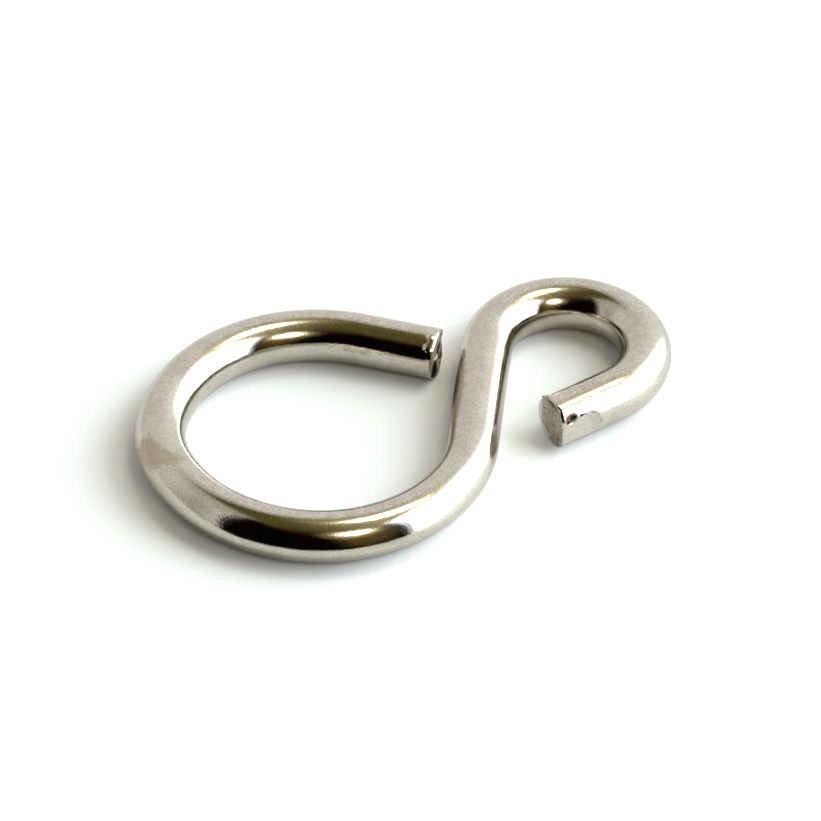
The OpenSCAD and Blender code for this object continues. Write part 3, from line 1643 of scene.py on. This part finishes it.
@dataclass
class SHook:
    """The whole hook: one bent wire with its two cut ends and its marks.

    Attributes:
        line: The wire's centreline.
        sweep: How the wire is swept.
        finish: The wire's finish.
        large_end: The large loop's cut end.
        small_end: The small loop's cut end.
        sways: Where the bending was uneven.
        marks: What the tools and the wear left in the wire's side, and the painted shade on it.
    """

    line: WireLine
    sweep: WireSweep
    finish: NickelPlate = NickelPlate()
    large_end: CutEnd = BROKEN_END
    small_end: CutEnd = SHEARED_END
    sways: tuple[Sway, ...] = (
        # Two on the large loop, and one from the shank to the small loop's end
        Sway(10, 17, 18, 23, (0.068, -0.091)),
        Sway(20, 27, 30, 39, (0.215, 0.05)),
        Sway(49, 62, 75, 84, (0.235, 0.125)),
    )
    marks: tuple[Mark, ...] = (
        ToolFlat(),
        Nick(),
        OuterRidge(),
        # Two worn patches on the large loop
        StainAndPaintedShade(23.95, 140, (1.5, 1.0), -25, 0.74),
        StainAndPaintedShade(25.2, 100, (1.3, 0.4), -55, 0.6),
        # Painted reflection on the shank's side: a brown patch with a dark streak in it, standing for the
        # small end's dark face and the shade under it
        StainAndPaintedShade(52.2, 32, (3.0, 0.75), 0, 0.8),
        StainAndPaintedShade(53.0, 24, (2.4, 0.44), 0, 0.0, 0.68),
        # A faint line beside the broken end
        StainAndPaintedShade(4.6, 14, (2.0, 0.35), 0, 0.42),
    )

    def build(self) -> bpy.types.Object:
        """Makes the wire and puts it on the model's body in place of the plain one.

        Returns:
            The finished wire.
        """
        material = self.finish.build("nickel plate")
        tube = self.sweep.build("bent_wire", material)
        skin = WireSkin(self.line, self.sweep.sides)
        skin.take(tube)
        skin.sway(self.sways)
        skin.press(self.marks)
        skin.close(Side.LARGE, self.large_end)
        skin.close(Side.SMALL, self.small_end)
        bpy.data.meshes.remove(tube)
        wire = bpy.data.objects.new("bent_wire", skin.mesh("bent_wire", material))
        bpy.context.scene.collection.objects.link(wire)
        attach(wire, "root")
        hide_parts(HOOK_NODE)
        return wire


# ---------------------------------------------------------------- surroundings


@dataclass(frozen=True)
class Viewpoint:
    """Where the hook is seen from.

    Attributes:
        target: The point looked at, in millimetres.
        away: Level direction of the view.
        drop: How far the view points down, in degrees.
        distance: Distance to the target, in millimetres.
        roll: How far the view is rolled, in degrees.
        lens: Focal length, in millimetres.
        sensor: Width of the sensor, in millimetres.
        near: Nearest distance seen, in metres.
        far: Furthest distance seen, in metres.
    """

    target: tuple[float, float, float] = (0.843, 1.125, 0.0)
    away: tuple[float, float] = (0.4638, 0.886)
    drop: float = 39.9
    distance: float = 600.0
    roll: float = 0.71
    lens: float = 455.8
    sensor: float = 36.0
    near: float = 0.01
    far: float = 100.0

    def level_away(self) -> Vector:
        """Returns the level direction of the view."""
        return Vector((*self.away, 0.0)).normalized()

    def level_right(self) -> Vector:
        """Returns the level direction to the right of the view."""
        away = self.level_away()
        return Vector((away.y, -away.x, 0.0))

    def place(self) -> bpy.types.Object:
        """Makes the camera.

        Returns:
            The camera, which the scene then uses.
        """
        data = bpy.data.cameras.new("camera")
        data.lens = self.lens
        data.sensor_width = self.sensor
        data.clip_start = self.near
        data.clip_end = self.far
        camera = bpy.data.objects.new("camera", data)
        bpy.context.scene.collection.objects.link(camera)
        drop = math.radians(self.drop)
        forward = math.cos(drop) * self.level_away() - math.sin(drop) * Vector((0, 0, 1))
        right = self.level_right()
        above = right.cross(forward)
        roll = math.radians(self.roll)
        rolled_right = math.cos(roll) * right + math.sin(roll) * above
        rolled_above = math.cos(roll) * above - math.sin(roll) * right
        eye = (Vector(self.target) - self.distance * forward) * MM
        turned = Matrix((rolled_right, rolled_above, -forward)).transposed()
        camera.matrix_world = Matrix.Translation(eye) @ turned.to_4x4()
        bpy.context.scene.camera = camera
        return camera


@dataclass(frozen=True)
class Lamp:
    """A round soft lamp, as the metal shows it.

    Attributes:
        azimuth: Its direction round the tent from the right, in degrees.
        zenith: Its angle from straight overhead, in degrees.
        core: Radius of its bright middle, in degrees.
        edge: Radius where its light has faded out, in degrees.
        strength: Its strength in the middle.
        colour: Its colour.
    """

    azimuth: float
    zenith: float
    core: float
    edge: float
    strength: float
    colour: Colour

    def direction(self) -> Vector:
        """Works out where in the tent it is.

        Returns:
            Its direction: right, away and up.
        """
        level = math.sin(math.radians(self.zenith))
        azimuth = math.radians(self.azimuth)
        up = math.cos(math.radians(self.zenith))
        return Vector((level * math.cos(azimuth), level * math.sin(azimuth), up))


# Directions in the tent, as right, away and up
RIGHT = (1.0, 0.0, 0.0)
AWAY = (0.0, 1.0, 0.0)
UP = (0.0, 0.0, 1.0)
# The back wall's right corner, as an angle round the tent from the right
CORNER = math.radians(49)
# Square to the way to that corner, on the back wall's side of it
FROM_CORNER = (-math.sin(CORNER), math.cos(CORNER), 0.0)


@dataclass(frozen=True)
class SoftEdge:
    """A soft straight edge in the tent.

    Attributes:
        slant: What a direction's right, away and up are multiplied by before they are added up.
        start: The sum at which the edge starts.
        end: The sum at which it ends, less than the start if the panel is on the lower side.
    """

    slant: tuple[float, float, float]
    start: float
    end: float

    def past(self, bench: Bench, way: Signal) -> Signal:
        """Returns how far past the edge each direction is, from 0 to 1."""
        return bench.smooth(bench.vector_math("DOT_PRODUCT", way, self.slant), self.start, self.end)


@dataclass(frozen=True)
class Panel:
    """A part of the tent, which shows where it is past all of its edges.

    Attributes:
        light: The light that comes from it, a colour in which 1 is white.
        edges: Its edges.
    """

    light: Colour
    edges: tuple[SoftEdge, ...]

    def share(self, bench: Bench, way: Signal) -> Signal:
        """Works out where the panel is.

        Args:
            bench: The bench of the world's tree.
            way: The direction looked in.

        Returns:
            How much of each direction it covers, from 0 to 1.
        """
        share = self.edges[0].past(bench, way)
        for edge in self.edges[1:]:
            share = share * edge.past(bench, way)
        return share


BACK_WALL = Panel((0.825, 0.835, 0.845), (SoftEdge(RIGHT, -0.80, 0.30),))
# The near end of the left wall
LEFT_FRONT = Panel((0.45, 0.43, 0.40), (SoftEdge(AWAY, 0.25, -0.20),))
# The part of the back wall that the right wall lights most
LIT_CORNER = Panel((1.05, 1.06, 1.04), (SoftEdge(FROM_CORNER, 0.55, 0.05),))
WALL_TOP = Panel((0.51, 0.485, 0.42), (SoftEdge(UP, 0.66, 0.86),))
# The bright wall, which most of the light comes from
RIGHT_WALL = Panel((4.6, 5.0, 5.4), (SoftEdge(FROM_CORNER, 0.10, -0.22),))
OPEN_FRONT = Panel(
    (0.002, 0.001, 0.001),
    (SoftEdge((0.60, 1.0, 0.0), 0.09, -0.09), SoftEdge((-0.66, 1.0, -0.11), 0.07, 0.0)),
)
ROOF_RIGHT = Panel((0.50, 0.46, 0.27), (SoftEdge(RIGHT, -0.17, 0.53),))
ROOF_FRONT = Panel((0.04, 0.015, 0.003), (SoftEdge(AWAY, -0.14, -0.70),))


@dataclass(frozen=True)
class LightTent:
    """The soft light tent round the hook: pale walls, a dim roof and an open front.

    Its directions are right, away and up, as the viewer stands before it.

    Attributes:
        view: Where the viewer stands.
        left_wall: Light of the left wall, which the walls start from.
        walls: The other parts of the walls, each over those before it.
        roof_left: Light of the roof's left part, which the roof starts from.
        roof: The other parts of the roof, each over those before it.
        roof_edges: The four edges of the roof.
        lamps: The lamps inside the tent.
    """

    view: Viewpoint
    left_wall: Colour = (0.70, 0.67, 0.62)
    walls: tuple[Panel, ...] = (BACK_WALL, LEFT_FRONT, LIT_CORNER, WALL_TOP, RIGHT_WALL, OPEN_FRONT)
    roof_left: Colour = (0.106, 0.09, 0.028)
    roof: tuple[Panel, ...] = (ROOF_RIGHT, ROOF_FRONT)
    roof_edges: tuple[SoftEdge, ...] = (
        SoftEdge((-1.58, 0.0, 1.0), -0.15, 0.15),
        SoftEdge((2.3, 0.0, 1.0), -0.14, 0.14),
        SoftEdge((0.0, -1.75, 1.0), -0.15, 0.15),
        SoftEdge((1.4, 0.9, 1.0), -0.25, 0.25),
    )
    lamps: tuple[Lamp, ...] = (
        # The lamp over the far side, with its glow
        Lamp(43, 20, 4, 12, 6.0, (1.0, 0.98, 0.86)),
        Lamp(43, 22, 4, 25, 0.35, (1.0, 0.90, 0.50)),
        # The lamp over the near side, with its glow round it and below it
        Lamp(-64, 45, 4, 11, 5.0, (1.0, 0.97, 0.85)),
        Lamp(-64, 46, 4, 22, 0.4, (1.0, 0.85, 0.40)),
        Lamp(-58, 66, 2, 22, 0.12, (1.0, 0.65, 0.18)),
    )

    def build(self) -> bpy.types.World:
        """Makes the tent as the scene's world, white where the camera sees past the table.

        Returns:
            The world.
        """
        world = bpy.data.worlds.new("light tent")
        world.use_nodes = True
        world.node_tree.nodes.clear()
        bench = Bench(world.node_tree)
        seen = bench.signal("ShaderNodeLightPath", output="Is Camera Ray")
        colour = bench.mix(self.light(bench), (1.0, 1.0, 1.0), seen)
        background = bench.signal("ShaderNodeBackground", inputs={"Color": colour})
        bench.output("ShaderNodeOutputWorld", "Surface", background)
        bpy.context.scene.world = world
        return world

    def direction(self, bench: Bench) -> Signal:
        """Turns the world's direction into the tent's.

        Args:
            bench: The bench of the world's tree.

        Returns:
            The direction looked in: right, away and up.
        """
        way = bench.signal("ShaderNodeTexCoord", output="Generated")
        right = bench.vector_math("DOT_PRODUCT", way, tuple(self.view.level_right()))
        away = bench.vector_math("DOT_PRODUCT", way, tuple(self.view.level_away()))
        up = bench.vector_math("DOT_PRODUCT", way, UP)
        return bench.signal("ShaderNodeCombineXYZ", inputs={"X": right, "Y": away, "Z": up})

    def light(self, bench: Bench) -> Signal:
        """Paints the tent's walls, roof, open front and lamps by direction.

        Args:
            bench: The bench of the world's tree.

        Returns:
            The light from each direction.
        """
        way = self.direction(bench)
        walls = self.left_wall
        for panel in self.walls:
            walls = bench.mix(walls, panel.light, panel.share(bench, way))
        roof = self.roof_left
        for panel in self.roof:
            roof = bench.mix(roof, panel.light, panel.share(bench, way))
        whole_roof = Panel(self.roof_left, self.roof_edges)
        light = bench.mix(walls, roof, whole_roof.share(bench, way))
        for lamp in self.lamps:
            light = self.add_lamp(bench, light, lamp, way)
        return light

    def add_lamp(self, bench: Bench, light: Signal, lamp: Lamp, way: Signal) -> Signal:
        """Adds one lamp to the light.

        Args:
            bench: The bench of the world's tree.
            light: The light so far.
            lamp: The lamp.
            way: The direction looked in.

        Returns:
            The light with the lamp.
        """
        facing = bench.vector_math("DOT_PRODUCT", way, tuple(lamp.direction()))
        start = math.cos(math.radians(lamp.edge))
        end = math.cos(math.radians(lamp.core))
        glow = bench.smooth(facing, start, end, 0.0, lamp.strength)
        lit = bench.signal(
            "ShaderNodeVectorMath",
            {"operation": "SCALE"},
            {0: lamp.colour, "Scale": glow},
        )
        return bench.vector_math("ADD", light, lit)


@dataclass(frozen=True)
class Table:
    """The plain white table top that the hook lies on.

    Attributes:
        half_width: Half its width, in metres.
        white: Its colour as it is seen.
        white_in_metal: Its colour in what the metal mirrors and in the light that the table throws back.
        roughness: How soft its sheen is.
    """

    half_width: float = 4.0
    white: Colour = (0.95, 0.985, 1.0)
    white_in_metal: Colour = (0.68, 0.69, 0.69)
    roughness: float = 0.5

    def build(self) -> bpy.types.Object:
        """Makes the table top.

        Returns:
            The table top, which isn't part of the object.
        """
        reach = self.half_width
        mesh = bpy.data.meshes.new("table")
        outline = [(-reach, -reach, 0), (reach, -reach, 0), (reach, reach, 0), (-reach, reach, 0)]
        mesh.from_pydata(outline, [], [(0, 1, 2, 3)])
        mesh.materials.append(self.paint())
        table = bpy.data.objects.new("table", mesh)
        bpy.context.scene.collection.objects.link(table)
        return table

    def paint(self) -> bpy.types.Material:
        """Makes the table's plain white finish.

        Returns:
            The material.
        """
        material = bpy.data.materials.new("white table")
        material.use_nodes = True
        material.node_tree.nodes.clear()
        bench = Bench(material.node_tree)
        seen = bench.signal("ShaderNodeLightPath", output="Is Camera Ray")
        surface = bench.signal(
            "ShaderNodeBsdfPrincipled",
            inputs={
                "Base Color": bench.mix(self.white_in_metal, self.white, seen),
                "Roughness": self.roughness,
            },
        )
        bench.output("ShaderNodeOutputMaterial", "Surface", surface)
        return material


def main() -> None:
    """Builds the hook and its surroundings."""
    logging.basicConfig(level=logging.INFO, format="%(name)s: %(message)s")
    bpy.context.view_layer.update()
    bpy.context.scene.view_settings.view_transform = "Standard"

    view = Viewpoint()
    view.place()
    LightTent(view).build()
    Table().build()

    line = WireLine()
    hook = SHook(line, WireSweep(line))
    wire = hook.build()
    LOG.info("%s: %d points, %d faces", wire.name, len(wire.data.vertices), len(wire.data.polygons))


if __name__ == "__main__":
    main()
